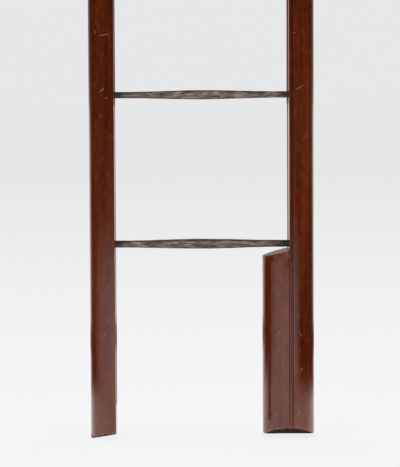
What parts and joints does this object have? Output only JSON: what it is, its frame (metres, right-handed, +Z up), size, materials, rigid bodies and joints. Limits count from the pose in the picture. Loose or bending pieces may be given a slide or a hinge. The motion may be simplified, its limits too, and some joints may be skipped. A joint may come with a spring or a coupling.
{
  "type": "folding library pole ladder",
  "caption": "Folding pole ladder: two half-round stiles joined by rungs that pivot in their grooves, so that it shuts into one round pole, with a half-round block at each end.",
  "frame": {"origin": "bottom centre of the bounding box: on the level of the left foot's low edge, midway between the stiles, on their axes", "axes": "+Z up along the stiles, +X from the left stile to the right stile, +Y from the front to the back"},
  "size_m": [0.347, 0.08, 2.211],
  "materials": {
    "mahogany": "french polished, dark red-brown, worn at the feet",
    "rung": "worn and grey-brown on the treads, dark at the ends",
    "plug": "french polished end-grain plug",
    "dowel": "raw beech, hidden",
    "iron_pin": "dark forged iron"
  },
  "bodies": {
    "right_stile": {"right_stile": "mahogany", "foot_block": "mahogany", "foot_block_dowel_lower": "dowel", "foot_block_dowel_upper": "dowel", "right_pivot_pin_1": "iron_pin", "right_pivot_pin_2": "iron_pin", "right_pivot_pin_3": "iron_pin", "right_pivot_pin_4": "iron_pin", "right_pivot_pin_5": "iron_pin", "right_pivot_pin_6": "iron_pin", "right_pivot_pin_7": "iron_pin", "right_pivot_pin_8": "iron_pin", "right_plug_1": "plug", "right_plug_2": "plug", "right_plug_3": "plug", "right_plug_4": "plug", "right_plug_5": "plug", "right_plug_6": "plug", "right_plug_7": "plug", "right_plug_8": "plug"},
    "rung_1": {"rung_1": "rung"},
    "rung_2": {"rung_2": "rung"},
    "rung_3": {"rung_3": "rung"},
    "rung_4": {"rung_4": "rung"},
    "rung_5": {"rung_5": "rung"},
    "rung_6": {"rung_6": "rung"},
    "rung_7": {"rung_7": "rung"},
    "rung_8": {"rung_8": "rung"},
    "left_stile": {"left_stile": "mahogany", "top_block": "mahogany", "top_block_dowel_lower": "dowel", "top_block_dowel_upper": "dowel", "left_pivot_pin_1": "iron_pin", "left_pivot_pin_2": "iron_pin", "left_pivot_pin_3": "iron_pin", "left_pivot_pin_4": "iron_pin", "left_pivot_pin_5": "iron_pin", "left_pivot_pin_6": "iron_pin", "left_pivot_pin_7": "iron_pin", "left_pivot_pin_8": "iron_pin", "left_plug_1": "plug", "left_plug_2": "plug", "left_plug_3": "plug", "left_plug_4": "plug", "left_plug_5": "plug", "left_plug_6": "plug", "left_plug_7": "plug", "left_plug_8": "plug"}
  },
  "joints": [
    {"name": "fold", "type": "hinge", "parent": "right_stile", "child": "rung_1", "pos_m": [0.141, 0, 0.3005], "axis": [0, 1, 0], "range_deg": [0, 86.83]},
    {"name": "rung_2_pivot", "type": "hinge", "parent": "right_stile", "child": "rung_2", "pos_m": [0.141, 0, 0.5305], "axis": [0, 1, 0], "range_deg": [0, 86.83]},
    {"name": "rung_3_pivot", "type": "hinge", "parent": "right_stile", "child": "rung_3", "pos_m": [0.141, 0, 0.7605], "axis": [0, 1, 0], "range_deg": [0, 86.83]},
    {"name": "rung_4_pivot", "type": "hinge", "parent": "right_stile", "child": "rung_4", "pos_m": [0.141, 0, 0.9905], "axis": [0, 1, 0], "range_deg": [0, 86.83]},
    {"name": "rung_5_pivot", "type": "hinge", "parent": "right_stile", "child": "rung_5", "pos_m": [0.141, 0, 1.2205], "axis": [0, 1, 0], "range_deg": [0, 86.83]},
    {"name": "rung_6_pivot", "type": "hinge", "parent": "right_stile", "child": "rung_6", "pos_m": [0.141, 0, 1.4505], "axis": [0, 1, 0], "range_deg": [0, 86.83]},
    {"name": "rung_7_pivot", "type": "hinge", "parent": "right_stile", "child": "rung_7", "pos_m": [0.141, 0, 1.6805], "axis": [0, 1, 0], "range_deg": [0, 86.83]},
    {"name": "rung_8_pivot", "type": "hinge", "parent": "right_stile", "child": "rung_8", "pos_m": [0.141, 0, 1.9105], "axis": [0, 1, 0], "range_deg": [0, 86.83]},
    {"name": "left_stile_pivot", "type": "hinge", "parent": "rung_1", "child": "left_stile", "pos_m": [-0.141, 0, 0.3005], "axis": [0, 1, 0], "range_deg": [-86.83, 0]}
  ],
  "couplings": [
    {"joint": "rung_2_pivot", "follows": "fold", "ratio": 1},
    {"joint": "rung_3_pivot", "follows": "fold", "ratio": 1},
    {"joint": "rung_4_pivot", "follows": "fold", "ratio": 1},
    {"joint": "rung_5_pivot", "follows": "fold", "ratio": 1},
    {"joint": "rung_6_pivot", "follows": "fold", "ratio": 1},
    {"joint": "rung_7_pivot", "follows": "fold", "ratio": 1},
    {"joint": "rung_8_pivot", "follows": "fold", "ratio": 1},
    {"joint": "left_stile_pivot", "follows": "fold", "ratio": -1}
  ]
}
